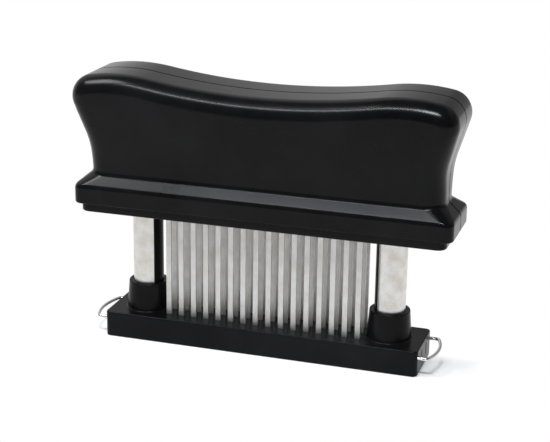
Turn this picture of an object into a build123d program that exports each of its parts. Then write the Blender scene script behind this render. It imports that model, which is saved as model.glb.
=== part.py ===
"""Spring-loaded meat tenderizer with 48 blades, two columns and a saddle-topped handle.

Millimetres. +Z is up, +X runs along the length, and the front faces -Y.
The origin is the centre of the base's underside, on the surface that it stands on.
"""

from build123d import *
import os
from math import cos, pi, radians, sin, sqrt, tan

# Blades
blade_pitch = 6.1
blades_per_row = 16
row_spacing = 7.0
rows = {"front": -1, "middle": 0, "rear": 1}
blade_width = 2.5
blade_thickness = 1.2
blade_head_width = 4.2
blade_head_height = 1.6
blade_tip_slant = 2.4
blade_tip_z = 2.5

# Base
base_length = 150.6
base_depth = 30.0
base_height = 12.2
base_corner_radius = 2.4
base_edge_radius = 0.6
slot_clearance = 0.4
boss_height = 13.4
boss_foot_radius = 10.3
boss_top_radius = 9.3
boss_rim_chamfer = 0.4
end_slot_spacing = 9.2
end_slot_width = 1.4
end_slot_depth = 3.0
end_slot_bottom = 3.6
end_slot_top = 9.4

# Columns
column_spacing = 117.6
column_radius = 7.1
sleeve_thickness = 0.6
sleeve_lift = 0.4
sleeve_fit = 0.02
strip_half_angle = 46.0
strip_edge_gap = 0.6
column_bore_clearance = 0.1
foot_length = 10.0
foot_depth = 26.8
foot_bottom_z = 5.4
foot_top_z = 10.6
foot_pocket_clearance = 0.3

# Wire clips
wire_radius = 0.8
clip_z = 8.5
clip_leg_spacing = 25.0
clip_reach = 4.3
clip_bow_rise = 2.7
clip_corner_radius = 2.0
clip_leg_overrun = 3.8
clip_hole_clearance = 0.2
clip_notch_depth = 1.9

# Handle outline, seen from the front
handle_length = 177.8
dip_z = 121.8
dip_radius = 330.0
dip_end_run = 35.9
crest_radius = 82.0
end_radius = 10.0
neck_end_step = 5.75
flare_angle = 15.9
neck_round = 36.0

# Handle section, seen from the end
grip_depth = 44.0
neck_side_step = 8.0
grip_bottom_z = 112.0
section_round = 30.0
grip_edge_radius = 8.5

# Skirt and shells
skirt_end_step = 0.0
skirt_side_step = 3.1
skirt_bottom_z = 65.4
skirt_top_z = 73.9
ledge_top_z = 79.2
skirt_corner_radius = 4.5
skirt_edge_radius = 0.9
shell_wall = 2.6
seam_width = 0.4
seam_depth = 0.5

# Bottom plate, which shows as the lower step
plate_thickness = 3.9
plate_end_inset = 3.0
plate_side_inset = 1.5
plate_corner_radius = 4.3
plate_edge_radius = 0.8
tongue_height = 3.0
tongue_width = 2.0
tongue_clearance = 0.15

# Guide bushes
bush_wall = 1.8
bush_flange_width = 1.0
bush_flange_thickness = 2.0
bush_fit = 0.05
slide_fit = 0.1

# Stop washers and return springs
stop_gap = 0.3
washer_radius = 9.6
washer_thickness = 1.6
spring_wire_radius = 0.4
spring_mean_radius = 5.0
spring_turns = 9
spring_stub = 0.8
spring_bend_rise = 1.6
spring_seat_z = 113.5
spring_seat_thickness = 2.5
spring_seat_length = 19.0
spring_gap_points = 48
spring_wire_sides = 6

# Blade bars
bar_height = 12.0
bar_gap = 0.4
bar_end_margin = 1.4
blade_fit = 0.05
rib_height = 8.6
rib_thickness = 2.4
rib_spacing = 24.0
ribs_per_shell = 4

# Screws
screw_radius = 1.5
screw_head_radius = 2.9
screw_head_height = 2.2
screw_hole_clearance = 0.25
head_recess_clearance = 0.4
thread_fit = 0.03
hole_end_gap = 1.0
drive_recess_radius = 1.2
drive_recess_depth = 1.1
stop_screw_length = 14.0
shell_screw_length = 20.0
shell_screw_seat_y = 10.5
shell_screw_end_inset = 12.9
shell_screw_end_z = 104.0
shell_screw_middle_spacing = 56.0
shell_screw_middle_z = 102.0
plate_screw_length = 12.0
plate_screw_end_inset = 11.9
plate_screw_side_inset = 9.9
screw_boss_radius = 3.8
plate_boss_height = 15.0

# Worked out from the above
sides = {"left": -1, "right": 1}
dip_half_run = handle_length / 2 - dip_end_run
neck_length = handle_length - 2 * neck_end_step
neck_depth = grip_depth - 2 * neck_side_step
skirt_length = handle_length - 2 * skirt_end_step
skirt_depth = grip_depth - 2 * skirt_side_step
plate_screw_spacing_x = skirt_length - 2 * plate_screw_end_inset
plate_screw_spacing_y = skirt_depth - 2 * plate_screw_side_inset
column_x = column_spacing / 2
core_radius = column_radius - sleeve_thickness
row_half = (blades_per_row - 1) / 2 * blade_pitch
plate_bottom_z = skirt_bottom_z - plate_thickness
bar_top_z = skirt_bottom_z + bar_height
bush_radius = column_radius + slide_fit + bush_wall
column_top_z = skirt_bottom_z + bush_flange_thickness + stop_gap
washer_top_z = column_top_z + washer_thickness
clip_hole_radius = wire_radius + clip_hole_clearance
clip_leg_end_x = column_x - foot_length / 2 - clip_leg_overrun
clip_leg_y = clip_leg_spacing / 2
pilot_radius = screw_radius + thread_fit
screw_hole_radius = screw_radius + screw_hole_clearance
head_recess_radius = screw_head_radius + head_recess_clearance
plate_screw_seat_z = plate_bottom_z + screw_head_height + head_recess_clearance / 2
shell_screw_end_x = handle_length / 2 - shell_screw_end_inset
shell_screw_middle_x = shell_screw_middle_spacing / 2
shell_screw_half = ((shell_screw_end_x, shell_screw_end_z), (shell_screw_middle_x, shell_screw_middle_z))
shell_screw_places = [(side * x, z) for x, z in shell_screw_half for side in sides.values()]


def finish(piece, label):
    """Label a finished piece and write it to its own file."""
    piece.label = label
    export_step(piece, f"parts/{label}.step")


def near(height):
    """A test for edges whose middle lies at this height."""
    return lambda edge: abs(edge.center().Z - height) < 0.01


def grip_form(inset, floor_z):
    """The grip above the skirt, with its outer faces moved inwards by inset."""
    dip = dip_radius + inset
    crest = crest_radius - inset
    end = end_radius - inset
    lean = radians(flare_angle)
    slope = dip_half_run / dip_radius
    rise = sqrt(1 - slope**2)
    join_x = dip * slope
    join_z = dip_z + dip_radius - dip * rise
    crest_x = join_x + crest * slope
    crest_z = join_z - crest * rise
    end_x = handle_length / 2 - end_radius
    end_z = crest_z + sqrt((crest - end) ** 2 - (end_x - crest_x) ** 2)
    meet_x = crest_x + (end_x - crest_x) * crest / (crest - end)
    meet_z = crest_z + (end_z - crest_z) * crest / (crest - end)
    turn = (pi / 2 - lean) / 2
    end_middle = (end_x + end * cos(turn), end_z + end * sin(turn))
    flare_x = end_x + end * cos(lean)
    flare_z = end_z - end * sin(lean)
    neck_x = neck_length / 2 - inset
    neck_z = flare_z - (flare_x - neck_x) / tan(lean)
    neck_y = neck_depth / 2 - inset
    grip_y = grip_depth / 2 - inset
    narrow_z = grip_bottom_z - (grip_y - neck_y) / tan(lean)
    above_z = crest_z + 2 * crest
    with BuildPart() as grip:
        with BuildSketch(Plane.XZ):
            with BuildLine():
                ThreePointArc((-join_x, join_z), (0, dip_z - inset), (join_x, join_z))
                ThreePointArc((join_x, join_z), (crest_x, crest_z + crest), (meet_x, meet_z))
                ThreePointArc((meet_x, meet_z), end_middle, (flare_x, flare_z))
                Polyline((flare_x, flare_z), (neck_x, neck_z), (neck_x, floor_z), (0, floor_z))
                mirror(about=Plane.YZ)
            make_face()
            fillet(vertices().filter_by(lambda v: abs(v.Y - neck_z) < 0.01), neck_round)
        extrude(amount=grip_depth, both=True)
        with BuildSketch(Plane.YZ):
            with BuildLine():
                Polyline((0, floor_z), (neck_y, floor_z), (neck_y, narrow_z), (grip_y, grip_bottom_z))
                Polyline((grip_y, grip_bottom_z), (grip_y, above_z), (0, above_z))
                mirror(about=Plane.YZ)
            make_face()
            bends = vertices().filter_by(lambda v: narrow_z - 0.01 < v.Y < grip_bottom_z + 0.01)
            fillet(bends, section_round)
        extrude(amount=handle_length, both=True, mode=Mode.INTERSECT)
        rims = edges().filter_by(Axis.X, reverse=True)
        rims = rims.filter_by(lambda e: abs(e.center().Y) > neck_y - 0.1 and e.center().Z > floor_z + 0.1)
        fillet(rims, grip_edge_radius - inset)
    return grip.part


def handle_form(inset):
    """Grip, ledge and skirt as one solid, with the outer faces moved inwards by inset."""
    neck_size = (neck_length - 2 * inset, neck_depth - 2 * inset)
    skirt_size = (skirt_length - 2 * inset, skirt_depth - 2 * inset)
    with BuildPart() as form:
        add(grip_form(inset, skirt_top_z))
        with BuildSketch(Plane.XY.offset(skirt_top_z)):
            RectangleRounded(*skirt_size, skirt_corner_radius - inset)
        with BuildSketch(Plane.XY.offset(ledge_top_z)):
            RectangleRounded(*neck_size, grip_edge_radius - inset)
        loft(ruled=True)
        with BuildSketch(Plane.XY.offset(skirt_bottom_z)):
            RectangleRounded(*skirt_size, skirt_corner_radius - inset)
        extrude(amount=skirt_top_z - skirt_bottom_z)
        if inset == 0:
            fillet(edges().filter_by(near(skirt_top_z)), skirt_edge_radius)
            fillet(edges().filter_by(near(skirt_bottom_z)), skirt_edge_radius)
    return form.part


def handle_shell(outer, cavity, groove, outward):
    """One half of the handle with its ribs, spring seats, screw bosses and screw holes."""
    facing = outward.z_dir.Y
    reach = grip_depth / 2
    rib_places = [(x - (ribs_per_shell - 1) / 2) * rib_spacing for x in range(ribs_per_shell)]
    with BuildPart() as shell:
        add(outer)
        add(cavity, mode=Mode.SUBTRACT)
        with Locations(*[(x, facing * reach / 2, bar_top_z) for x in rib_places]):
            Box(rib_thickness, reach, rib_height, align=(Align.CENTER, Align.CENTER, Align.MIN))
        with Locations(*[(side * column_x, facing * reach / 2, spring_seat_z) for side in sides.values()]):
            Box(spring_seat_length, reach, spring_seat_thickness, align=(Align.CENTER, Align.CENTER, Align.MIN))
        with BuildSketch(outward):
            with Locations(*shell_screw_places):
                Circle(screw_boss_radius)
        extrude(amount=reach)
        with BuildSketch(Plane.XY.offset(skirt_bottom_z)):
            with Locations((0, facing * plate_screw_spacing_y / 2)):
                with GridLocations(plate_screw_spacing_x, 1, 2, 1):
                    Circle(screw_boss_radius)
        extrude(amount=plate_boss_height)
        add(outer, mode=Mode.INTERSECT)
        with BuildSketch(Plane.XY.offset(skirt_bottom_z)):
            with Locations((0, facing * plate_screw_spacing_y / 2)):
                with GridLocations(plate_screw_spacing_x, 1, 2, 1):
                    Circle(pilot_radius)
        plate_screw_depth = plate_screw_seat_z + plate_screw_length + hole_end_gap - skirt_bottom_z
        extrude(amount=plate_screw_depth, mode=Mode.SUBTRACT)
        if facing < 0:
            with BuildSketch(outward):
                with Locations(*shell_screw_places):
                    Circle(pilot_radius)
            extrude(amount=shell_screw_length - shell_screw_seat_y + hole_end_gap, mode=Mode.SUBTRACT)
        else:
            with BuildSketch(outward):
                with Locations(*shell_screw_places):
                    Circle(screw_hole_radius)
            extrude(amount=shell_screw_seat_y, mode=Mode.SUBTRACT)
            with BuildSketch(outward.offset(shell_screw_seat_y)):
                with Locations(*shell_screw_places):
                    Circle(head_recess_radius)
            extrude(amount=reach, mode=Mode.SUBTRACT)
        add(groove, mode=Mode.SUBTRACT)
        split(bisect_by=outward)
    return shell.part


def screw_group(places, length):
    """Recessed pan-head screws, each at a plane on its seat that faces out of the head."""
    with BuildPart() as screws:
        for place in places:
            with BuildSketch(place):
                Circle(screw_head_radius)
            extrude(amount=screw_head_height)
            with BuildSketch(place):
                Circle(screw_radius)
            extrude(amount=-length)
            with BuildSketch(place.offset(screw_head_height - drive_recess_depth)):
                RegularPolygon(drive_recess_radius, 6)
            extrude(amount=drive_recess_depth, mode=Mode.SUBTRACT)
    return screws.part


def blade_row_places():
    """Sketch places of one row's blades along the X direction."""
    return GridLocations(blade_pitch, 1, blades_per_row, 1)


def biarc(start, start_way, end, end_way):
    """Two tangent arcs that join two points and leave each in its given direction."""
    span = end - start
    ways = start_way + end_way
    a = 2 * start_way.dot(end_way) - 2
    b = -2 * span.dot(ways)
    c = span.dot(span)
    reach = (-b - sqrt(b * b - 4 * a * c)) / (2 * a)
    first = start + start_way * reach
    last = end - end_way * reach
    meet = (first + last) * 0.5
    TangentArc(start, meet, tangent=start_way)
    TangentArc(meet, end, tangent=(last - first).normalized())


def least_gap(wire, count, thickness):
    """The least gap between two stretches of a wound wire, measured on points along it."""
    points = [wire.position_at(k / count) for k in range(count + 1)]
    apart = int(5 * thickness / (wire.length / count))
    gaps = [(a - b).length for k, a in enumerate(points) for b in points[k + apart :]]
    return min(gaps) - thickness


def return_spring(centre_x):
    """A compression spring: upright wire ends and helical turns of half-turn biarcs."""
    low_z = washer_top_z + spring_stub
    high_z = spring_seat_z - spring_stub
    coil_low = low_z + spring_bend_rise
    coil_high = high_z - spring_bend_rise
    steps = 2 * spring_turns
    climb = (coil_high - coil_low) / steps
    pace = climb / pi

    def coil_point(step):
        angle = step * pi
        return Vector(
            centre_x + spring_mean_radius * cos(angle),
            spring_mean_radius * sin(angle),
            coil_low + climb * step,
        )

    def coil_way(step):
        angle = step * pi
        return Vector(-spring_mean_radius * sin(angle), spring_mean_radius * cos(angle), pace).normalized()

    up = Vector(0, 0, 1)
    bottom = coil_point(-0.25)
    top = coil_point(steps + 0.25)
    bottom.Z = low_z
    top.Z = high_z
    with BuildPart() as spring:
        with BuildLine() as coil:
            Line(bottom - up * spring_stub, bottom)
            biarc(bottom, up, coil_point(0), coil_way(0))
            for step in range(steps):
                biarc(coil_point(step), coil_way(step), coil_point(step + 1), coil_way(step + 1))
            biarc(coil_point(steps), coil_way(steps), top, up)
            Line(top, top + up * spring_stub)
        wire = coil.wires()[0]
        with BuildSketch(Plane(origin=bottom - up * spring_stub, z_dir=up)) as section:
            RegularPolygon(spring_wire_radius, spring_wire_sides)
        sweep(path=wire)
    gap = least_gap(wire, spring_turns * spring_gap_points, 2 * spring_wire_radius)
    print(f"return spring: least gap to itself {gap:.2f} mm, wire {wire.length:.1f} mm long")
    print(f"return spring: volume {spring.part.volume / (section.sketch.area * wire.length):.4f} of section times length")
    return spring.part


os.makedirs("parts", exist_ok=True)

# Base plate with column bosses, blade slots, foot pockets and clip holes
with BuildPart() as base_plate:
    with BuildSketch():
        RectangleRounded(base_length, base_depth, base_corner_radius)
    extrude(amount=base_height)
    fillet(edges().filter_by(near(base_height)), base_edge_radius)
    fillet(edges().filter_by(near(0)), base_edge_radius)
    with Locations(*[(side * column_x, 0, base_height) for side in sides.values()]):
        Cone(boss_foot_radius, boss_top_radius, boss_height, align=(Align.CENTER, Align.CENTER, Align.MIN))
    chamfer(edges().filter_by(near(base_height + boss_height)), boss_rim_chamfer)
    with BuildSketch():
        with GridLocations(blade_pitch, row_spacing, blades_per_row, len(rows)):
            Rectangle(blade_width + 2 * slot_clearance, blade_thickness + 2 * slot_clearance)
    extrude(amount=base_height, mode=Mode.SUBTRACT)
    with BuildSketch():
        with GridLocations(column_spacing, 1, 2, 1):
            Rectangle(foot_length + 2 * foot_pocket_clearance, foot_depth + 2 * foot_pocket_clearance)
    extrude(amount=foot_top_z, mode=Mode.SUBTRACT)
    with BuildSketch(Plane.XY.offset(foot_top_z)):
        with GridLocations(column_spacing, 1, 2, 1):
            Circle(column_radius + column_bore_clearance)
    extrude(amount=base_height + boss_height - foot_top_z, mode=Mode.SUBTRACT)
    for side in sides.values():
        end_face = Plane((side * base_length / 2, 0, 0), x_dir=(0, 1, 0), z_dir=(side, 0, 0))
        with BuildSketch(end_face):
            with Locations((0, side * clip_z)):
                with GridLocations(clip_leg_spacing, 1, 2, 1):
                    Circle(clip_hole_radius)
        extrude(amount=clip_leg_end_x - base_length / 2 - hole_end_gap, mode=Mode.SUBTRACT)
        with BuildSketch(end_face):
            with Locations((0, side * (end_slot_bottom + end_slot_top) / 2)):
                with GridLocations(end_slot_spacing, 1, 2, 1):
                    Rectangle(end_slot_width, end_slot_top - end_slot_bottom)
        extrude(amount=-end_slot_depth, mode=Mode.SUBTRACT)
finish(base_plate.part, "base_plate")

# Columns: a plastic core with a strip that faces the blades, and an open steel sleeve around it
for name, side in sides.items():
    column_plane = Plane((side * column_x, 0, foot_top_z), x_dir=(-side, 0, 0), z_dir=(0, 0, 1))
    wedge_length = 2 * column_radius
    strip_angle = radians(strip_half_angle - strip_edge_gap)
    gap_angle = radians(strip_half_angle + strip_edge_gap)
    with BuildPart() as column_core:
        with BuildSketch(column_plane):
            with BuildLine():
                strip_corner = (wedge_length * cos(strip_angle), wedge_length * sin(strip_angle))
                Polyline((0, 0), strip_corner, (strip_corner[0], -strip_corner[1]), close=True)
            make_face()
            Circle(column_radius, mode=Mode.INTERSECT)
            Circle(core_radius)
        extrude(amount=column_top_z - foot_top_z)
        with Locations((side * column_x, 0, foot_bottom_z)):
            Box(
                foot_length,
                foot_depth,
                foot_top_z - foot_bottom_z,
                align=(Align.CENTER, Align.CENTER, Align.MIN),
            )
        notch_size = 2 * (foot_depth / 2 - clip_leg_y + clip_notch_depth / 2)
        with Locations(*[(side * column_x, end * foot_depth / 2, clip_z) for end in (-1, 1)]):
            Box(foot_length, notch_size, 2 * clip_hole_radius, mode=Mode.SUBTRACT)
        with BuildSketch(Plane.XY.offset(column_top_z)):
            with Locations((side * column_x, 0)):
                Circle(pilot_radius)
        extrude(amount=-(stop_screw_length + hole_end_gap), mode=Mode.SUBTRACT)
    finish(column_core.part, f"column_core_{name}")

    with BuildPart() as column_sleeve:
        with BuildSketch(column_plane.offset(sleeve_lift)):
            Circle(column_radius)
            Circle(core_radius + sleeve_fit, mode=Mode.SUBTRACT)
            with BuildLine():
                gap_corner = (wedge_length * cos(gap_angle), wedge_length * sin(gap_angle))
                Polyline((0, 0), gap_corner, (gap_corner[0], -gap_corner[1]), close=True)
            make_face(mode=Mode.SUBTRACT)
        extrude(amount=column_top_z - foot_top_z - sleeve_lift)
    finish(column_sleeve.part, f"column_sleeve_{name}")

    with BuildPart() as stop_washer:
        with BuildSketch(Plane.XY.offset(column_top_z)):
            with Locations((side * column_x, 0)):
                Circle(washer_radius)
                Circle(screw_hole_radius, mode=Mode.SUBTRACT)
        extrude(amount=washer_thickness)
    finish(stop_washer.part, f"stop_washer_{name}")

    finish(return_spring(side * column_x), f"return_spring_{name}")

# Wire clips that lock the base to the columns' feet
for name, side in sides.items():
    corner_x = side * (base_length / 2 + clip_reach)
    with BuildPart() as clip:
        with BuildLine(Plane.XY.offset(clip_z)) as clip_line:
            Line((side * clip_leg_end_x, -clip_leg_y), (corner_x, -clip_leg_y))
            ThreePointArc(
                (corner_x, -clip_leg_y),
                (corner_x + side * clip_bow_rise, 0),
                (corner_x, clip_leg_y),
            )
            Line((corner_x, clip_leg_y), (side * clip_leg_end_x, clip_leg_y))
            fillet(clip_line.vertices().filter_by(lambda v: abs(v.X - corner_x) < 0.01), clip_corner_radius)
        with BuildSketch(Plane((side * clip_leg_end_x, -clip_leg_y, clip_z), z_dir=(side, 0, 0))):
            Circle(wire_radius)
        sweep(path=clip_line.line)
    finish(clip.part, f"clip_{name}")

# Handle shells, which meet along the middle
outer_form = handle_form(0)
cavity_form = handle_form(shell_wall)
with BuildPart() as seam_groove:
    add(outer_form)
    add(handle_form(seam_depth), mode=Mode.SUBTRACT)
    with Locations((0, 0, skirt_bottom_z)):
        Box(
            2 * skirt_length,
            seam_width,
            2 * (dip_z - skirt_bottom_z),
            align=(Align.CENTER, Align.CENTER, Align.MIN),
            mode=Mode.INTERSECT,
        )
finish(handle_shell(outer_form, cavity_form, seam_groove.part, Plane.front), "handle_front_shell")
finish(handle_shell(outer_form, cavity_form, seam_groove.part, Plane.back), "handle_rear_shell")

# Bottom plate, which closes the handle and carries the blade bars and the guide bushes
with BuildPart() as bottom_plate:
    with BuildSketch(Plane.XY.offset(plate_bottom_z)):
        RectangleRounded(
            skirt_length - 2 * plate_end_inset,
            skirt_depth - 2 * plate_side_inset,
            plate_corner_radius,
        )
    extrude(amount=plate_thickness)
    fillet(edges().filter_by(near(plate_bottom_z)), plate_edge_radius)
    tongue_inset = shell_wall + tongue_clearance
    with BuildSketch(Plane.XY.offset(skirt_bottom_z)):
        RectangleRounded(
            skirt_length - 2 * tongue_inset,
            skirt_depth - 2 * tongue_inset,
            skirt_corner_radius - tongue_inset,
        )
        Rectangle(
            skirt_length - 2 * (tongue_inset + tongue_width),
            skirt_depth - 2 * (tongue_inset + tongue_width),
            mode=Mode.SUBTRACT,
        )
    extrude(amount=tongue_height)
    with BuildSketch(Plane.XY.offset(plate_bottom_z)):
        with GridLocations(blade_pitch, row_spacing, blades_per_row, len(rows)):
            Rectangle(blade_width + 2 * slot_clearance, blade_thickness + 2 * slot_clearance)
        with GridLocations(column_spacing, 1, 2, 1):
            Circle(bush_radius + bush_fit)
        with GridLocations(plate_screw_spacing_x, plate_screw_spacing_y, 2, 2):
            Circle(screw_hole_radius)
    extrude(amount=plate_thickness, mode=Mode.SUBTRACT)
    with BuildSketch(Plane.XY.offset(plate_bottom_z)):
        with GridLocations(plate_screw_spacing_x, plate_screw_spacing_y, 2, 2):
            Circle(head_recess_radius)
    extrude(amount=plate_screw_seat_z - plate_bottom_z, mode=Mode.SUBTRACT)
finish(bottom_plate.part, "bottom_plate")

# Guide bushes in which the columns slide
for name, side in sides.items():
    with BuildPart() as guide_bush:
        with BuildSketch(Plane.XY.offset(plate_bottom_z)):
            with Locations((side * column_x, 0)):
                Circle(bush_radius)
        extrude(amount=plate_thickness)
        with BuildSketch(Plane.XY.offset(skirt_bottom_z)):
            with Locations((side * column_x, 0)):
                Circle(bush_radius + bush_flange_width)
        extrude(amount=bush_flange_thickness)
        with BuildSketch(Plane.XY.offset(plate_bottom_z)):
            with Locations((side * column_x, 0)):
                Circle(column_radius + slide_fit)
        extrude(amount=plate_thickness + bush_flange_thickness, mode=Mode.SUBTRACT)
    finish(guide_bush.part, f"guide_bush_{name}")

# Blade bars and the blades that hang in them by their heads
blade_outline = [
    (-blade_width / 2, blade_tip_z + blade_tip_slant),
    (blade_width / 2, blade_tip_z),
    (blade_width / 2, bar_top_z - blade_head_height),
    (blade_head_width / 2, bar_top_z - blade_head_height),
    (blade_head_width / 2, bar_top_z),
    (-blade_head_width / 2, bar_top_z),
    (-blade_head_width / 2, bar_top_z - blade_head_height),
    (-blade_width / 2, bar_top_z - blade_head_height),
]
for name, place in rows.items():
    row_y = place * row_spacing
    bar_length = 2 * row_half + blade_head_width + bar_end_margin
    with BuildPart() as blade_bar:
        with BuildSketch(Plane.XY.offset(skirt_bottom_z)):
            with Locations((0, row_y)):
                Rectangle(bar_length, row_spacing - bar_gap)
                with blade_row_places():
                    Rectangle(blade_width + 2 * blade_fit, blade_thickness + 2 * blade_fit, mode=Mode.SUBTRACT)
        extrude(amount=bar_height)
        with BuildSketch(Plane.XY.offset(bar_top_z - blade_head_height)):
            with Locations((0, row_y)):
                with blade_row_places():
                    Rectangle(blade_head_width + 2 * blade_fit, blade_thickness + 2 * blade_fit)
        extrude(amount=blade_head_height, mode=Mode.SUBTRACT)
    finish(blade_bar.part, f"blade_bar_{name}")

    with BuildPart() as blades:
        with BuildSketch(Plane.XZ.offset(-row_y)):
            with blade_row_places():
                Polygon(*blade_outline, align=None)
        extrude(amount=blade_thickness / 2, both=True)
    finish(blades.part, f"blades_{name}")

# Screws
stop_planes = [Plane((side * column_x, 0, washer_top_z), z_dir=(0, 0, 1)) for side in sides.values()]
finish(screw_group(stop_planes, stop_screw_length), "stop_screws")

shell_planes = [Plane((x, shell_screw_seat_y, z), z_dir=(0, 1, 0)) for x, z in shell_screw_places]
finish(screw_group(shell_planes, shell_screw_length), "shell_screws")

plate_planes = [
    Plane((x * plate_screw_spacing_x / 2, y * plate_screw_spacing_y / 2, plate_screw_seat_z), z_dir=(0, 0, -1))
    for x in (-1, 1)
    for y in (-1, 1)
]
finish(screw_group(plate_planes, plate_screw_length), "plate_screws")
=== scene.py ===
"""Hand-pressed blade meat tenderizer in black plastic and stainless steel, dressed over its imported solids."""

from math import asin, atan2, cos, pi, radians, sin, sqrt, tan

import bmesh
import bpy
from bpy.props import FloatProperty, FloatVectorProperty, IntProperty, PointerProperty
from mathutils import Matrix, Vector


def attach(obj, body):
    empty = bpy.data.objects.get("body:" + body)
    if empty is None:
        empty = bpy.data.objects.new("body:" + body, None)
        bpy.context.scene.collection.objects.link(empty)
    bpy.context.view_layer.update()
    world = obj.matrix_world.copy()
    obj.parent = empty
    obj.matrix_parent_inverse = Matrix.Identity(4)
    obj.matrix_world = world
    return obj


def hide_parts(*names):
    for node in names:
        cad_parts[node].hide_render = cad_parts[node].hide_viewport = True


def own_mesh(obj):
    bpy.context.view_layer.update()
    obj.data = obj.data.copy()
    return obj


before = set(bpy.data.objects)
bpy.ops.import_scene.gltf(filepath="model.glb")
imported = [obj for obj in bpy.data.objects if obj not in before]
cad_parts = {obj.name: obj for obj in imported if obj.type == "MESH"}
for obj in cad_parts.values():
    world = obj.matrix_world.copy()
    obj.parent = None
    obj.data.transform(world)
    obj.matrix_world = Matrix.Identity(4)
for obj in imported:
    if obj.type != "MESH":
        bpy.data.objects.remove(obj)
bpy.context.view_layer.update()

bl_info = {
    "name": "Blade Meat Tenderizer",
    "version": (1, 0, 0),
    "blender": (4, 5, 0),
    "location": "View3D > Sidebar > Tenderizer",
    "description": "Models and finishes a spring-loaded meat tenderizer piece by piece",
    "category": "Object",
}

MM = 0.001
TOUCH = 1e-6  # within this, two places are the same
NEAR = 1e-5  # within this, a point lies on a level
SPARE = 1.0 * MM  # how far a cutter passes what it cuts
SINK = 0.5 * MM  # how far a piece reaches into the one that it is joined to

BOTH = (-1, 1)
SIDES = {"left": -1, "right": 1}
ROWS = {"front": -1, "middle": 0, "rear": 1}
FACINGS = {"front": -1, "rear": 1}
INNER_NODES = {
    "zinc": ("stop_washer_left", "stop_washer_right", "stop_screws", "shell_screws", "plate_screws"),
    "bar": ("blade_bar_front", "blade_bar_middle", "blade_bar_rear"),
}
MATERIALS = {}


# Sizes and colours


def length(name, millimetres, text):
    """A length property with its default in millimetres."""
    return FloatProperty(name=name, description=text, default=millimetres * MM, unit="LENGTH", precision=5)


def angle(name, turn, text):
    """An angle property with its default in radians."""
    return FloatProperty(name=name, description=text, default=turn, unit="ROTATION")


def number(name, value, text):
    """A property that is a plain number."""
    return FloatProperty(name=name, description=text, default=value)


def tint(name, value, text):
    """A colour property."""
    return FloatVectorProperty(name=name, description=text, default=value, subtype="COLOR")


class HandleSizes(bpy.types.PropertyGroup):
    """Sizes of the two handle halves and the plate below them."""

    length: length("Length", 177.8, "Overall length of the handle")
    grip_depth: length("Grip depth", 44.0, "Depth across the top of the grip")
    neck_depth: length("Neck depth", 28.0, "Depth just above the ledge")
    neck_length: length("Neck length", 166.3, "Length just above the ledge")
    dip_z: length("Dip height", 121.8, "Height of the top at mid length")
    dip_radius: length("Dip radius", 330.0, "Radius of the hollow in the top")
    dip_half_run: length("Dip half run", 53.0, "Half length of the hollow in the top")
    crest_radius: length("Crest radius", 82.0, "Radius of the two rises of the top")
    end_radius: length("End radius", 10.0, "Radius of the top's two ends")
    neck_round: length("Neck round", 36.0, "Radius between neck and flare, seen from the front")
    section_round: length("Section round", 30.0, "Radius between neck and flare, seen from the end")
    flare: angle("Flare", radians(15.9), "Lean of the flare")
    grip_bottom: length("Grip bottom", 112.0, "Height where the flare reaches the full depth")
    rim: length("Rim radius", 8.5, "Rounding round the grip's outline")
    skirt_depth: length("Skirt depth", 37.8, "Depth of the skirt")
    skirt_corner: length("Skirt corner", 4.5, "Corner radius of the skirt")
    skirt_edge: length("Skirt edge", 0.9, "Rounding of the skirt's lower edge")
    ledge_edge: length("Ledge edge", 1.4, "Rounding of the ledge's outer edge")
    crease: length("Crease", 1.3, "Rounding between ledge and neck")
    skirt_bottom: length("Skirt bottom", 65.4, "Height of the skirt's lower edge")
    skirt_top: length("Skirt top", 73.9, "Height of the skirt's upper edge")
    ledge_top: length("Ledge top", 79.2, "Height of the ledge's upper edge")
    wall: length("Wall", 2.6, "Wall thickness of the halves")
    seam: length("Seam", 0.55, "Half width of the groove along the parting line")
    seam_depth: length("Seam depth", 1.0, "Depth of the groove along the parting line")
    plate_thickness: length("Plate thickness", 3.9, "Thickness of the bottom plate")
    plate_end_inset: length("Plate end inset", 3.0, "Step between skirt and plate at the ends")
    plate_side_inset: length("Plate side inset", 1.5, "Step between skirt and plate at the sides")
    plate_corner: length("Plate corner", 4.3, "Corner radius of the bottom plate")
    plate_edge: length("Plate edge", 0.8, "Rounding of the plate's lower edge")
    tongue_height: length("Tongue height", 3.0, "Height of the plate's locating tongue")
    tongue_width: length("Tongue width", 2.0, "Width of the plate's locating tongue")
    tongue_gap: length("Tongue gap", 0.15, "Gap between tongue and shell")


class ScrewSizes(bpy.types.PropertyGroup):
    """Sizes of the screw holes in the handle."""

    recess: length("Head recess", 3.3, "Radius of the recess for a screw's head")
    hole: length("Hole", 1.75, "Radius of the clearance hole")
    boss: length("Boss", 3.8, "Radius of the boss round a screw")
    seat_y: length("Seat", 10.5, "Distance of the shell screws' seats from the middle")
    end_x: length("End screws", 76.0, "Place of the end screws along the handle")
    end_z: length("End screw height", 104.0, "Height of the end screws")
    middle_x: length("Middle screws", 28.0, "Place of the middle screws along the handle")
    middle_z: length("Middle screw height", 102.0, "Height of the middle screws")
    plate_x: length("Plate screws along", 77.0, "Place of the plate screws along the handle")
    plate_y: length("Plate screws across", 9.0, "Place of the plate screws across the handle")
    plate_seat: length("Plate screw seat", 63.9, "Height of the plate screws' seats")


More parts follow.
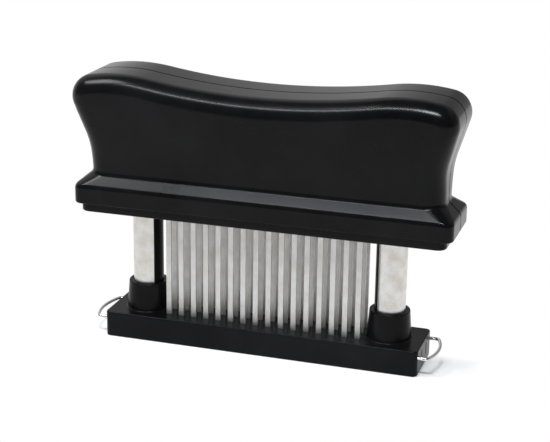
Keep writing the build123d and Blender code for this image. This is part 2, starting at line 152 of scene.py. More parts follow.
class BaseSizes(bpy.types.PropertyGroup):
    """Sizes of the slotted base."""

    length: length("Length", 150.6, "Length of the base")
    depth: length("Depth", 30.0, "Depth of the base")
    height: length("Height", 12.2, "Height of the base's slab")
    corner: length("Corner", 2.4, "Radius of the upright corners")
    edge: length("Edge", 0.6, "Rounding of the top and bottom edges")
    boss_height: length("Boss height", 13.4, "Height of a boss above the slab")
    boss_foot: length("Boss foot", 10.3, "Radius at the foot of a boss")
    boss_top: length("Boss top", 9.3, "Radius at the top of a boss")
    boss_rim: length("Boss rim", 0.4, "Rounding of a boss's rim")
    boss_fillet: length("Boss fillet", 0.6, "Rounding where a boss meets the slab")
    bore: length("Bore", 7.2, "Radius of a boss's bore")
    slot_clearance: length("Slot clearance", 0.4, "Room round a blade on each side")
    slot_edge: length("Slot edge", 0.06, "Rounding of the slots' mouths")
    pocket_length: length("Pocket length", 10.6, "Length of a foot pocket")
    pocket_depth: length("Pocket depth", 27.4, "Depth of a foot pocket")
    pocket_top: length("Pocket top", 10.6, "Height of a foot pocket's roof")
    hole: length("Wire hole", 1.0, "Radius of a wire clip's hole")
    hole_end: length("Wire hole end", 49.0, "Where the wire holes end inside")
    slit_spacing: length("Slit spacing", 9.2, "Distance between the slits in an end face")
    slit_width: length("Slit width", 1.4, "Width of a slit")
    slit_bottom: length("Slit bottom", 3.6, "Lower end of a slit")
    slit_top: length("Slit top", 9.4, "Upper end of a slit")
    slit_depth: length("Slit depth", 3.0, "Depth of a slit")


class ColumnSizes(bpy.types.PropertyGroup):
    """Sizes of the columns and their bushes."""

    x: length("Place", 58.8, "Distance of a column from the middle")
    radius: length("Radius", 7.1, "Outer radius of sleeve and strip")
    sleeve: length("Sleeve", 0.6, "Thickness of the steel sleeve")
    sleeve_edge: length("Sleeve edge", 0.1, "Rounding of a sleeve's edges")
    fit: length("Fit", 0.02, "Gap between sleeve and core")
    strip: angle("Strip", radians(46), "Half angle of the strip")
    gap: angle("Gap", radians(0.6), "Gap beside the strip")
    top: length("Top", 67.7, "Height of a column's top")
    sleeve_bottom: length("Sleeve bottom", 11.0, "Height of a sleeve's lower end")
    foot_length: length("Foot length", 10.0, "Length of a column's foot")
    foot_depth: length("Foot depth", 26.8, "Depth of a column's foot")
    foot_bottom: length("Foot bottom", 5.4, "Height of a foot's underside")
    foot_top: length("Foot top", 10.6, "Height of a foot's top")
    foot_edge: length("Foot edge", 0.2, "Rounding of a foot's edges")
    notch_y: length("Notch", 11.55, "Where the notches for the wires begin")
    notch_height: length("Notch height", 2.0, "Height of the notches for the wires")
    bush_radius: length("Bush radius", 9.0, "Outer radius of a guide bush")
    bush_bore: length("Bush bore", 7.2, "Bore radius of a guide bush")
    bush_edge: length("Bush edge", 0.3, "Rounding of a bush's lower edges")
    bush_play: length("Bush play", 0.05, "Gap between bush and plate")
    flange_radius: length("Flange radius", 10.0, "Radius of a bush's flange")
    flange_thickness: length("Flange thickness", 2.0, "Thickness of a bush's flange")


class BladeSizes(bpy.types.PropertyGroup):
    """Sizes of the blades."""

    pitch: length("Pitch", 6.1, "Distance between blades")
    row_spacing: length("Row spacing", 7.0, "Distance between rows")
    count: IntProperty(name="Blades in a row", description="Number of blades in a row", default=16, min=2)
    width: length("Width", 2.5, "Width of a blade")
    thickness: length("Thickness", 1.2, "Thickness of a blade")
    head_width: length("Head width", 4.2, "Width of a blade's head")
    head_height: length("Head height", 1.6, "Height of a blade's head")
    tip: length("Tip", 2.5, "Height of the tip's point")
    slant: length("Slant", 2.4, "Rise of the slanted tip")
    top: length("Top", 77.4, "Height of a blade's top")
    edge: length("Edge", 0.12, "Rounding of a blade's edges")


class SpringSizes(bpy.types.PropertyGroup):
    """Sizes of the return springs."""

    radius: length("Coil radius", 5.0, "Radius of the coil's middle line")
    wire: length("Wire radius", 0.4, "Radius of the wire")
    bottom: length("Bottom", 69.3, "Height of the spring's seat")
    top: length("Top", 113.5, "Height of the spring's upper end")
    pressed: length("Pressed length", 10.2, "Length of the spring with the handle pressed right down")
    turns: IntProperty(name="Open turns", description="Turns between the two closed ends", default=7, min=1)
    end_pitch: length("End pitch", 0.85, "Rise of a closed end turn")


class ClipSizes(bpy.types.PropertyGroup):
    """Sizes of the wire clips."""

    radius: length("Wire radius", 0.8, "Radius of the wire")
    z: length("Height", 8.5, "Height of the wire's middle")
    leg_y: length("Leg", 12.5, "Distance of a leg from the middle")
    leg_end: length("Leg end", 50.0, "Where the legs end inside the base")
    corner_x: length("Corner", 79.6, "Where the bow would meet the leg without its bend")
    bow_x: length("Bow", 82.3, "Middle of the bow")
    bend: length("Bend", 2.0, "Radius of the wire's bends")
    edge: length("Edge", 0.2, "Rounding of the wire's ends")


class Finish(bpy.types.PropertyGroup):
    """Colours and gloss of the materials."""

    plastic: tint("Plastic", (0.0030, 0.0030, 0.0033), "Black moulded plastic")
    plastic_worn: tint("Worn plastic", (0.0080, 0.0080, 0.0088), "Plastic that hands and dust have dulled")
    plastic_gloss: number("Plastic roughness", 0.20, "Roughness of the plastic")
    steel: tint("Steel", (0.75, 0.75, 0.745), "Bright stainless steel")
    steel_warm: tint("Warm steel", (0.64, 0.60, 0.535), "Warmer patches in the steel")
    zinc: tint("Zinc", (0.60, 0.61, 0.62), "Zinc plating")
    floor: tint("Floor", (0.86, 0.86, 0.865), "Pale floor")


class StageSizes(bpy.types.PropertyGroup):
    """Camera and lights."""

    azimuth: angle("Azimuth", 0.3017, "Camera's turn")
    elevation: angle("Elevation", 0.3136, "Camera's height")
    roll: angle("Roll", 0.0149, "Camera's roll")
    distance: length("Distance", 675.87, "Camera distance")
    aim_z: length("Aim height", 48.8, "Height that the camera circles")
    aim_right: length("Aim right", -3.561, "Sideways shift of the aim")
    aim_up: length("Aim up", -11.417, "Upward shift of the aim")
    lens: number("Lens", 96.10, "Focal length in millimetres")
    overhead_power: number("Overhead power", 5.0, "Power of the overhead lamp")
    key_power: number("Key power", 4.6, "Power of the small lamp at the left")
    side_power: number("Side power", 2.5, "Power of the small lamp right of the middle")
    ambient: number("Ambient", 0.25, "Strength of the world on matt surfaces")
    room: number("Room", 0.07, "Brightness of the dim side of the room in reflections")
    shadow_x: length("Shadow along", 92.0, "Half length of the zone where the floor keeps its shadow")
    shadow_y: length("Shadow across", 6.0, "Where the floor's shadow starts to fade towards the back")
    shadow_front: length("Shadow in front", 60.0, "Where it starts to fade towards the front")
    shadow_fade: length("Shadow fade", 8.0, "Distance over which the shadow fades out")
    shadow_depth: number("Shadow depth", 0.85, "Share of the shadow that shows")


GROUPS = {
    "tenderizer_handle": HandleSizes,
    "tenderizer_screws": ScrewSizes,
    "tenderizer_base": BaseSizes,
    "tenderizer_columns": ColumnSizes,
    "tenderizer_blades": BladeSizes,
    "tenderizer_springs": SpringSizes,
    "tenderizer_clips": ClipSizes,
    "tenderizer_finish": Finish,
    "tenderizer_stage": StageSizes,
}


def settings(*names):
    """The scene's property groups by their short names."""
    return [getattr(bpy.context.scene, f"tenderizer_{name}") for name in names]


# Modelling helpers


def clear_selection():
    """Leave edit mode and select nothing."""
    if bpy.context.mode != "OBJECT":
        bpy.ops.object.mode_set(mode="OBJECT")
    for chosen in list(bpy.context.selected_objects):
        chosen.select_set(False)


def take(piece):
    """Make one object the only selected and active one."""
    clear_selection()
    piece.select_set(True)
    bpy.context.view_layer.objects.active = piece


def added(name):
    """Name the primitive just added and put its place into its mesh."""
    piece = bpy.context.object
    piece.name = piece.data.name = name
    bpy.ops.object.transform_apply(location=True, rotation=True, scale=True)
    return piece


def block(name, corner, opposite):
    """A box between two opposite corners."""
    clear_selection()
    low, high = (Vector(tuple(map(pick, corner, opposite))) for pick in (min, max))
    bpy.ops.mesh.primitive_cube_add(size=1, location=(low + high) / 2, scale=high - low)
    return added(name)


def rod(name, place, span, radius, axis="Z", sides=128):
    """A closed cylinder through a place, from end to end of a span along an axis."""
    clear_selection()
    low, high = sorted(span)
    centre = Vector(place)
    centre["XYZ".index(axis)] = (low + high) / 2
    turn = {"X": (0, pi / 2, 0), "Y": (pi / 2, 0, 0), "Z": (0, 0, 0)}[axis]
    bpy.ops.mesh.primitive_cylinder_add(
        vertices=sides, radius=radius, depth=high - low, location=centre, rotation=turn, end_fill_type="NGON"
    )
    return added(name)


def ring(name, sides, radius, centre, turn=(0, 0, 0), fill="NOTHING"):
    """A circle of points, open or filled."""
    clear_selection()
    bpy.ops.mesh.primitive_circle_add(
        vertices=sides, radius=radius, location=centre, rotation=turn, fill_type=fill
    )
    return added(name)


def edit(piece, kind="EDGE"):
    """Open a piece in edit mode with nothing selected."""
    take(piece)
    bpy.ops.object.mode_set(mode="EDIT")
    bpy.ops.mesh.select_mode(type=kind)
    bpy.ops.mesh.select_all(action="DESELECT")


def select_all():
    """Select the whole mesh, in edit mode."""
    bpy.ops.mesh.select_all(action="SELECT")


def choose(kind, test):
    """Select the vertices, edges or faces that pass a test, in edit mode, and tell if there are any."""
    bpy.ops.mesh.select_mode(type=kind)
    bpy.ops.mesh.select_all(action="DESELECT")
    data = bpy.context.object.data
    mesh = bmesh.from_edit_mesh(data)
    mesh.normal_update()
    items = {"VERT": mesh.verts, "EDGE": mesh.edges, "FACE": mesh.faces}[kind]
    for item in items:
        item.select_set(bool(test(item)))
    mesh.select_flush_mode()
    bmesh.update_edit_mesh(data)
    return any(item.select for item in items)


def sharp(edge, limit):
    """True if the two faces of an edge meet at more than a limit in degrees."""
    return len(edge.link_faces) == 2 and edge.calc_face_angle(0) > radians(limit)


def upright(edge):
    """True if an edge runs along Z."""
    return abs((edge.verts[1].co - edge.verts[0].co).normalized().z) > 0.98


def at_level(edge, z, near=TOUCH):
    """True if an edge lies at a height."""
    return all(abs(v.co.z - z) < near for v in edge.verts)


def open_below(edge, z):
    """True for the free edge of a shell below a height."""
    return len(edge.link_faces) == 1 and all(v.co.z < z for v in edge.verts)


def extend(step):
    """Extrude what is selected by a step."""
    bpy.ops.mesh.extrude_region_move(TRANSFORM_OT_translate={"value": step})


def shift(step):
    """Move what is selected by a step."""
    bpy.ops.transform.translate(value=step)


def resize(factors, centre=(0, 0, 0)):
    """Scale what is selected about a centre."""
    bpy.ops.transform.resize(value=factors, center_override=centre)


def face_outwards():
    """Turn the selected faces outwards."""
    bpy.ops.mesh.normals_make_consistent(inside=False)


def bisect_all(point, normal, clear_outer=False):
    """Cut the whole mesh with a plane, in edit mode."""
    select_all()
    bpy.ops.mesh.bisect(plane_co=point, plane_no=normal, use_fill=False, clear_outer=clear_outer)


def round_off(width, segments):
    """Round the selected edges."""
    bpy.ops.mesh.bevel(
        offset_type="OFFSET", offset=width, segments=segments, profile=0.5, affect="EDGES", clamp_overlap=False
    )


def bevel(piece, test, width, segments):
    """Round the edges of a piece that pass a test."""
    edit(piece)
    if choose("EDGE", test):
        round_off(width, segments)
    clear_selection()


def slab(name, half_x, half_y, low, high, corner, segments):
    """A box centred on the Z axis, with rounded upright corners."""
    piece = block(name, (-half_x, -half_y, low), (half_x, half_y, high))
    bevel(piece, upright, corner, segments)
    return piece


def apply_modifier(piece, kind, **values):
    """Add a modifier, set it and apply it."""
    take(piece)
    modifier = piece.modifiers.new(kind.lower(), kind)
    for name, value in values.items():
        setattr(modifier, name, value)
    bpy.ops.object.modifier_apply(modifier=modifier.name)


def thicken(piece, wall):
    """Give a shell a wall on its inner side."""
    apply_modifier(piece, "SOLIDIFY", thickness=wall, offset=-1, use_even_offset=True, use_rim=True)


def repeat(piece, count, step):
    """Repeat a piece along X."""
    apply_modifier(
        piece, "ARRAY", count=count, use_relative_offset=False, use_constant_offset=True,
        constant_offset_displace=(step, 0, 0),
    )


def cut(piece, tools, operation="DIFFERENCE"):
    """Cut or join a piece with tool objects, which are used up."""
    for tool in tools:
        apply_modifier(piece, "BOOLEAN", operation=operation, object=tool, solver="EXACT")
        bpy.data.objects.remove(tool)


def joined(name, pieces):
    """Several objects as one."""
    take(pieces[0])
    for piece in pieces:
        piece.select_set(True)
    bpy.ops.object.join()
    pieces[0].name = name
    return pieces[0]


def clean_mesh(piece):
    """Merge doubled points and turn the faces outwards."""
    edit(piece, "VERT")
    select_all()
    bpy.ops.mesh.remove_doubles(threshold=TOUCH)
    face_outwards()
    clear_selection()


def smooth(piece, limit=32):
    """Smooth shading that breaks at sharp edges, with large faces kept flat."""
    take(piece)
    bpy.ops.object.shade_smooth_by_angle(angle=radians(limit))
    apply_modifier(piece, "WEIGHTED_NORMAL", keep_sharp=True, mode="FACE_AREA", weight=50)


def settle(piece, body, material, nodes):
    """Give a finished piece its material, its body and the CAD nodes that it stands for."""
    clear_selection()
    piece.data.materials.clear()
    piece.data.materials.append(material)
    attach(piece, body)
    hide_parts(*nodes)


# Materials


def feed(tree, socket, value):
    """Set a socket to a value, or link another socket to it."""
    if isinstance(value, (int, float, tuple)):
        socket.default_value = value
    else:
        tree.links.new(value, socket)


def maths(tree, operation, total, *others):
    """Numbers and sockets worked together by one operation, from left to right."""
    for other in others:
        node = tree.nodes.new("ShaderNodeMath")
        node.operation = operation
        feed(tree, node.inputs[0], total)
        feed(tree, node.inputs[1], other)
        total = node.outputs[0]
    return total


def spread(tree, *values):
    """A value mapped from one range, low and high, to another, and kept within it."""
    node = tree.nodes.new("ShaderNodeMapRange")
    for socket, value in zip(node.inputs, values):
        feed(tree, socket, value)
    return node.outputs[0]


def swing(tree, pattern, amount):
    """A pattern centred on zero and scaled."""
    return maths(tree, "MULTIPLY", maths(tree, "SUBTRACT", pattern, 0.5), amount)


def mix_colour(tree, factor, a, b):
    """A colour between two colours."""
    node = tree.nodes.new("ShaderNodeMix")
    node.data_type = "RGBA"
    for index, value in zip((0, 6, 7), (factor, a, b)):
        feed(tree, node.inputs[index], value)
    return node.outputs[2]


def noise(tree, vector, scale, detail, rough):
    """Noise whose scale is per metre."""
    node = tree.nodes.new("ShaderNodeTexNoise")
    for label, value in {"Vector": vector, "Scale": scale, "Detail": detail, "Roughness": rough}.items():
        feed(tree, node.inputs[label], value)
    return node.outputs["Fac"]


def axes_of(tree, output):
    """The X, Y and Z of one output of Texture Coordinate."""
    node = tree.nodes.new("ShaderNodeSeparateXYZ")
    tree.links.new(tree.nodes.new("ShaderNodeTexCoord").outputs[output], node.inputs[0])
    return node.outputs


def effect_group(name, inputs):
    """A node group with the given inputs, which puts out a colour, a roughness and a height."""
    group = bpy.data.node_groups.new(name, "ShaderNodeTree")
    group.interface.new_socket(name="Vector", in_out="INPUT", socket_type="NodeSocketVector")
    for label, value in inputs.items():
        kind = "NodeSocketColor" if isinstance(value, tuple) else "NodeSocketFloat"
        group.interface.new_socket(name=label, in_out="INPUT", socket_type=kind).default_value = value
    for label, kind in (("Colour", "Color"), ("Roughness", "Float"), ("Height", "Float")):
        group.interface.new_socket(name=label, in_out="OUTPUT", socket_type=f"NodeSocket{kind}")
    return group, group.nodes.new("NodeGroupInput").outputs, group.nodes.new("NodeGroupOutput").inputs


def moulded_group():
    """Moulded plastic: fine grain, handling smudges and sparse dust."""
    inputs = {"Clean": (0.01, 0.01, 0.01, 1.0), "Worn": (0.02, 0.02, 0.02, 1.0), "Roughness": 0.4, "Smudge": 0.08}
    group, given, result = effect_group("moulded_plastic", inputs)
    grain = noise(group, given["Vector"], 2600.0, 2.0, 0.6)
    flow = noise(group, given["Vector"], 28.0, 4.0, 0.6)
    dust = noise(group, given["Vector"], 900.0, 1.0, 0.4)
    specks = spread(group, dust, 0.735, 0.80, 0.0, 1.0)
    haze = spread(group, flow, 0.40, 0.72, 0.0, 1.0)
    worn = maths(group, "MAXIMUM", maths(group, "MULTIPLY", haze, 0.7), specks)
    change = maths(group, "ADD", swing(group, flow, given["Smudge"]), swing(group, grain, 0.05))
    feed(group, result["Colour"], mix_colour(group, worn, given["Clean"], given["Worn"]))
    feed(group, result["Roughness"], maths(group, "ADD", given["Roughness"], change))
    feed(group, result["Height"], maths(group, "ADD", grain, specks))
    return group


def metal_group():
    """Worked metal: drawn or ground lines, cloudy patches and fine scratches."""
    inputs = {
        "Plain": (0.7, 0.7, 0.7, 1.0), "Warm": (0.7, 0.68, 0.64, 1.0), "Roughness": 0.2, "Patch scale": 180.0,
        "Patch": 0.5, "Lines": 0.1,
    }
    group, given, result = effect_group("worked_metal", inputs)
    drawn = group.nodes.new("ShaderNodeMapping")
    drawn.inputs["Scale"].default_value = (4200.0, 4200.0, 60.0)
    feed(group, drawn.inputs["Vector"], given["Vector"])
    patch = noise(group, given["Vector"], given["Patch scale"], 3.0, 0.6)
    lines = noise(group, drawn.outputs[0], 1.0, 3.0, 0.7)
    factor = maths(group, "MULTIPLY", spread(group, patch, 0.36, 0.66, 0.0, 1.0), given["Patch"])
    change = maths(group, "ADD", swing(group, lines, given["Lines"]), swing(group, patch, 0.16))
    rough = maths(group, "ADD", given["Roughness"], change)
    feed(group, result["Colour"], mix_colour(group, factor, given["Plain"], given["Warm"]))
    feed(group, result["Roughness"], maths(group, "MAXIMUM", rough, 0.04))
    feed(group, result["Height"], maths(group, "ADD", lines, maths(group, "MULTIPLY", patch, 0.6)))
    return group


def new_material(name):
    """A material with its shader and output, linked."""
    material = bpy.data.materials.new(name)
    material.use_nodes = True
    nodes = material.node_tree.nodes
    nodes.clear()
    output = nodes.new("ShaderNodeOutputMaterial")
    shader = nodes.new("ShaderNodeBsdfPrincipled")
    material.node_tree.links.new(shader.outputs["BSDF"], output.inputs["Surface"])
    return material, shader, output


def finish_material(name, group, values, bump, specular, metallic):
    """A material that places an effect group with its own values on Object coordinates."""
    material, shader, _ = new_material(name)
    tree = material.node_tree
    effect = tree.nodes.new("ShaderNodeGroup")
    effect.node_tree = group
    feed(tree, effect.inputs["Vector"], tree.nodes.new("ShaderNodeTexCoord").outputs["Object"])
    for label, value in values.items():
        effect.inputs[label].default_value = value
    height = tree.nodes.new("ShaderNodeBump")
    relief = {"Strength": bump, "Distance": 0.04 * MM, "Height": effect.outputs["Height"]}
    for label, value in relief.items():
        feed(tree, height.inputs[label], value)
    surface = {
        "Base Color": effect.outputs["Colour"], "Roughness": effect.outputs["Roughness"],
        "Normal": height.outputs["Normal"], "Metallic": metallic, "Specular IOR Level": specular,
    }
    for label, value in surface.items():
        feed(tree, shader.inputs[label], value)
    return material


def build_materials():
    """Fill the table of the object's finishes."""
    (finish,) = settings("finish")
    tints = ("plastic", "plastic_worn", "steel", "steel_warm", "zinc")
    colour = {name: (*getattr(finish, name), 1.0) for name in tints}
    group = moulded_group()
    colours = {"Clean": colour["plastic"], "Worn": colour["plastic_worn"]}
    gloss = finish.plastic_gloss
    plastics = (  # finish, material, roughness, bump, specular
        ("plastic", "satin_black_plastic", gloss, 0.04, 0.12),
        ("base", "base_black_plastic", gloss + 0.06, 0.08, 0.09),
        ("bar", "matte_black_plastic", 0.55, 0.15, 0.12),
        ("bush", "smooth_black_plastic", 0.30, 0.05, 0.12),
    )
    for key, name, rough, bump, specular in plastics:
        MATERIALS[key] = finish_material(name, group, colours | {"Roughness": rough}, bump, specular, 0.0)
    group = metal_group()
    metals = (  # finish, material, plain colour, roughness, patches, lines, bump
        ("sleeve", "rolled_steel", "steel", 0.36, 0.9, 0.15, 0.25),
        ("blade", "polished_blade_steel", "steel", 0.54, 0.5, 0.25, 0.20),
        ("wire", "drawn_wire_steel", "steel", 0.22, 0.5, 0.05, 0.10),
        ("spring", "spring_steel", "steel", 0.28, 0.6, 0.05, 0.10),
        ("zinc", "zinc_plating", "zinc", 0.32, 0.9, 0.05, 0.15),
    )
    for key, name, plain, rough, patch, lines, bump in metals:
        values = {"Plain": colour[plain], "Warm": colour["steel_warm"]}
        values |= {"Roughness": rough, "Patch": patch, "Lines": lines}
        MATERIALS[key] = finish_material(name, group, values, bump, 0.5, 1.0)


# Handle


def half_depth(sizes, z):
    """Half depth of the grip at a height: neck, arc, flare, arc and full depth."""
    low, high, lean, bend = sizes.neck_depth / 2, sizes.grip_depth / 2, sizes.flare, sizes.section_round
    tangent = bend * tan(lean / 2)
    top = sizes.grip_bottom
    bottom = top - (high - low) / tan(lean)
    if z <= bottom - tangent:
        return low
    if z < bottom + tangent * cos(lean):
        return low + bend - sqrt(bend**2 - (z - bottom + tangent) ** 2)
    if z < top - tangent * cos(lean):
        return low + (z - bottom) * tan(lean)
    if z < top + tangent:
        return high - bend + sqrt(bend**2 - (top + tangent - z) ** 2)
    return high


def arc(centre, turn, steps, axis=(0, 1, 0)):
    """Carry an outline on round a centre."""
    bpy.ops.mesh.spin(steps=steps, angle=turn, center=centre, axis=axis)


def draw_to(x, z):
    """Carry an outline in the middle plane on in a straight line."""
    mesh = bmesh.from_edit_mesh(bpy.context.object.data)
    pen = next(v.co.copy() for v in mesh.verts if v.select)
    extend(Vector((x, 0, z)) - pen)


def draw_outline(sizes):
    """The grip's outline, seen from the front: its right half drawn, and mirrored to the left."""
    slope = sizes.dip_half_run / sizes.dip_radius
    rise = sqrt(1 - slope**2)
    join = Vector((sizes.dip_half_run, sizes.dip_z + sizes.dip_radius * (1 - rise)))
    crest = Vector((join.x + sizes.crest_radius * slope, join.y - sizes.crest_radius * rise))
    end_x = sizes.length / 2 - sizes.end_radius
    reach = sizes.crest_radius - sizes.end_radius
    end = Vector((end_x, crest.y + sqrt(reach**2 - (end_x - crest.x) ** 2)))
    lift = asin((end_x - crest.x) / reach)
    flare = Vector((end.x + sizes.end_radius * cos(sizes.flare), end.y - sizes.end_radius * sin(sizes.flare)))
    neck_x = sizes.neck_length / 2
    neck_z = flare.y - (flare.x - neck_x) / tan(sizes.flare)
    tangent = sizes.neck_round * tan(sizes.flare / 2)

    clear_selection()
    bpy.ops.mesh.primitive_plane_add(size=MM, location=(0, 0, sizes.dip_z))
    piece = added("grip")
    edit(piece, "VERT")
    select_all()
    bpy.ops.mesh.merge(type="CENTER")
    arc((0, 0, sizes.dip_z + sizes.dip_radius), asin(slope), 13)
    arc((crest.x, 0, crest.y), -(asin(slope) + lift), 16)
    arc((end.x, 0, end.y), lift - pi / 2 - sizes.flare, 16)
    draw_to(neck_x + tangent * sin(sizes.flare), neck_z + tangent * cos(sizes.flare))
    arc((neck_x + sizes.neck_round, 0, neck_z - tangent), sizes.flare, 7)
    draw_to(neck_x, sizes.ledge_top)
    select_all()
    bpy.ops.mesh.symmetrize(direction="POSITIVE_X", threshold=TOUCH)
    return piece


def grip_mesh(sizes):
    """The whole grip above the ledge, open below: outline, depth, flare and rounded rim."""
    piece = draw_outline(sizes)
    select_all()
    bpy.ops.mesh.edge_face_add()
    half = sizes.grip_depth / 2
    shift((0, -half, 0))
    extend((0, 2 * half, 0))
    select_all()
    face_outwards()

    full_z = sizes.grip_bottom + 0.9 * MM  # where the full depth begins
    bend_z = sizes.grip_bottom - 4.2 * MM  # where the flare's upper bend begins
    clear_x = sizes.neck_length / 2 - sizes.rim - 0.3 * MM  # where the rim's corners begin
    bend_steps = 5
    neck_levels = (81.5 * MM, 85.1 * MM, 88.7 * MM)
    mesh = bmesh.from_edit_mesh(piece.data)
    across = {round(v.co.x, 6) for v in mesh.verts if abs(v.co.x) < clear_x}
    levels = {round(v.co.z, 6) for v in mesh.verts if sizes.ledge_top + 0.1 * MM < v.co.z < full_z}
    levels |= {round(bend_z + (full_z - bend_z) * k / bend_steps, 6) for k in range(bend_steps + 1)}
    levels |= {round(z, 6) for z in neck_levels}
    for x in sorted(across):
        bisect_all((x, 0, 0), (1, 0, 0))
    for z in sorted(levels):
        bisect_all((0, 0, z), (0, 0, 1))
    mesh = bmesh.from_edit_mesh(piece.data)
    for z in sorted({round(v.co.z, 6) for v in mesh.verts if v.co.z < full_z - TOUCH}):
        choose("VERT", lambda v: abs(v.co.z - z) < 2 * TOUCH)
        resize((1, half_depth(sizes, z) / half, 1))
    select_all()
    bpy.ops.mesh.remove_doubles(threshold=TOUCH)
    floor = sizes.ledge_top + NEAR
    choose("FACE", lambda f: f.normal.z < -0.9 and f.calc_center_median().z < floor)
    bpy.ops.mesh.delete(type="FACE")
    side = sizes.neck_depth / 2 - 0.1 * MM
    choose("EDGE", lambda e: sharp(e, 50) and all(abs(v.co.y) > side for v in e.verts))
    round_off(sizes.rim, 9)


def add_skirt(sizes):
    """Ledge and skirt, drawn down from the grip's open lower edge."""
    choose("EDGE", lambda e: open_below(e, sizes.ledge_top + NEAR))
    extend((0, 0, sizes.skirt_top - sizes.ledge_top))
    neck_x, neck_y = sizes.neck_length / 2, sizes.neck_depth / 2
    skirt_x, skirt_y = sizes.length / 2, sizes.skirt_depth / 2
    old_x, old_y = neck_x - sizes.rim, neck_y - sizes.rim
    new_x, new_y = skirt_x - sizes.skirt_corner, skirt_y - sizes.skirt_corner
    shrink = sizes.skirt_corner / sizes.rim
    floor, near, spare = sizes.skirt_top + NEAR, 2 * NEAR, 20 * NEAR
    for x in BOTH:
        for y in BOTH:
            choose(
                "VERT",
                lambda v: v.co.z < floor and v.co.x * x > old_x - spare and v.co.y * y > old_y - spare,
            )
            resize((shrink, shrink, 1), (x * old_x, y * old_y, sizes.skirt_top))
            shift((x * (new_x - old_x), y * (new_y - old_y), 0))
    for y in BOTH:
        choose(
            "VERT",
            lambda v: v.co.z < floor and abs(v.co.x) < old_x - spare and abs(v.co.y * y - neck_y) < near,
        )
        resize((new_x / old_x, 1, 1))
        shift((0, y * (skirt_y - neck_y), 0))
    choose("EDGE", lambda e: open_below(e, floor))
    extend((0, 0, sizes.skirt_bottom - sizes.skirt_top))
    bpy.ops.mesh.edge_face_add()
    select_all()
    face_outwards()
    for z, width in ((sizes.ledge_top, sizes.crease), (sizes.skirt_top, sizes.ledge_edge)):
        choose("EDGE", lambda e: at_level(e, z, near) and sharp(e, 20))
        round_off(width, 4)
    choose("FACE", lambda f: f.normal.z < -0.99 and f.calc_center_median().z < sizes.skirt_bottom + near)
    bpy.ops.mesh.delete(type="FACE")


def faces_out(face, sizes):
    """True if a face of a hollow half looks away from the inside."""
    core_x, core_z = 60 * MM, 100 * MM
    centre = face.calc_center_median()
    top = sizes.grip_bottom if abs(centre.x) > core_x else core_z
    inside = Vector((max(-core_x, min(core_x, centre.x)), centre.y, min(centre.z, top)))
    return face.normal.dot(centre - inside) > 0


def cut_seam(half, sizes, facing):
    """Slope the outer edge of the mating face back, so that two halves leave a fine dark groove."""
    edit(half, "FACE")
    choose("FACE", lambda f: f.normal.y * facing < -0.9 and abs(f.calc_center_median().y) < NEAR)
    bpy.ops.mesh.inset(thickness=sizes.seam_depth, depth=0, use_boundary=True, use_even_offset=False)
    mesh = bmesh.from_edit_mesh(half.data)
    mesh.normal_update()
    outer = {
        v.index for v in mesh.verts
        if abs(v.co.y) < NEAR and any(abs(f.normal.y) < 0.5 and faces_out(f, sizes) for f in v.link_faces)
    }
    choose("VERT", lambda v: v.index in outer)
    shift((0, facing * sizes.seam, 0))
    clear_selection()


def add_screw_seats(half, screws, surface):
    """Bosses inside the rear half, with a recess and a hole for each screw."""
    seat, floor, wall, drill = screws.seat_y, 2.0 * MM, 13.5 * MM, 5.0 * MM
    along = ((screws.end_x, screws.end_z), (screws.middle_x, screws.middle_z))
    places = [(side * x, 0, z) for x, z in along for side in BOTH]
    for name, span, radius, sides, operation in (
        ("boss", (seat - floor, wall), screws.boss, 48, "UNION"),
        ("recess", (seat, surface + 2 * SPARE), screws.recess, 48, "DIFFERENCE"),
        ("hole", (seat - drill, seat + drill), screws.hole, 32, "DIFFERENCE"),
    ):
        cut(half, [rod(name, place, span, radius, "Y", sides) for place in places], operation)


class TENDERIZER_OT_handle(bpy.types.Operator):
    """Model the two halves of the saddle-topped handle"""

    bl_idname = "tenderizer.handle"
    bl_label = "Handle Halves"

    def execute(self, context):
        sizes, screws = settings("handle", "screws")
        grip_mesh(sizes)
        add_skirt(sizes)
        whole = context.object
        bottom, wall = sizes.skirt_bottom + NEAR, sizes.wall / 2
        inner_x, inner_y = sizes.length / 2 - wall, sizes.skirt_depth / 2 - wall

        def lower_edge(edge):
            outside = (abs(v.co.x) > inner_x or abs(v.co.y) > inner_y for v in edge.verts)
            return all(v.co.z < bottom for v in edge.verts) and all(outside) and sharp(edge, 50)

        for name, facing in FACINGS.items():
            take(whole)
            bpy.ops.object.duplicate()
            half = context.object
            half.name = half.data.name = f"handle_{name}_half"
            edit(half, "VERT")
            bisect_all((0, 0, 0), (0, -facing, 0), clear_outer=True)
            thicken(half, sizes.wall)
            clean_mesh(half)
            bevel(half, lower_edge, sizes.skirt_edge, 4)
            cut_seam(half, sizes, facing)
            if facing > 0:
                add_screw_seats(half, screws, sizes.grip_depth / 2)
            smooth(half)
            settle(half, "handle", MATERIALS["plastic"], [f"handle_{name}_shell"])
        bpy.data.objects.remove(whole)
        return {"FINISHED"}


# Plate and base


def row_reach(blades):
    """Distance of a row's last blade from the middle."""
    return (blades.count - 1) / 2 * blades.pitch


def slot_tools(blades, clearance, low, high):
    """Cutters for all blade slots, as one object."""
    tools = []
    width, thickness = blades.width / 2 + clearance, blades.thickness / 2 + clearance
    first = -row_reach(blades)
    for row in ROWS.values():
        y = row * blades.row_spacing
        tools.append(block("slot", (first - width, y - thickness, low), (first + width, y + thickness, high)))
        repeat(tools[-1], blades.count, blades.pitch)
    return joined("slots", tools)


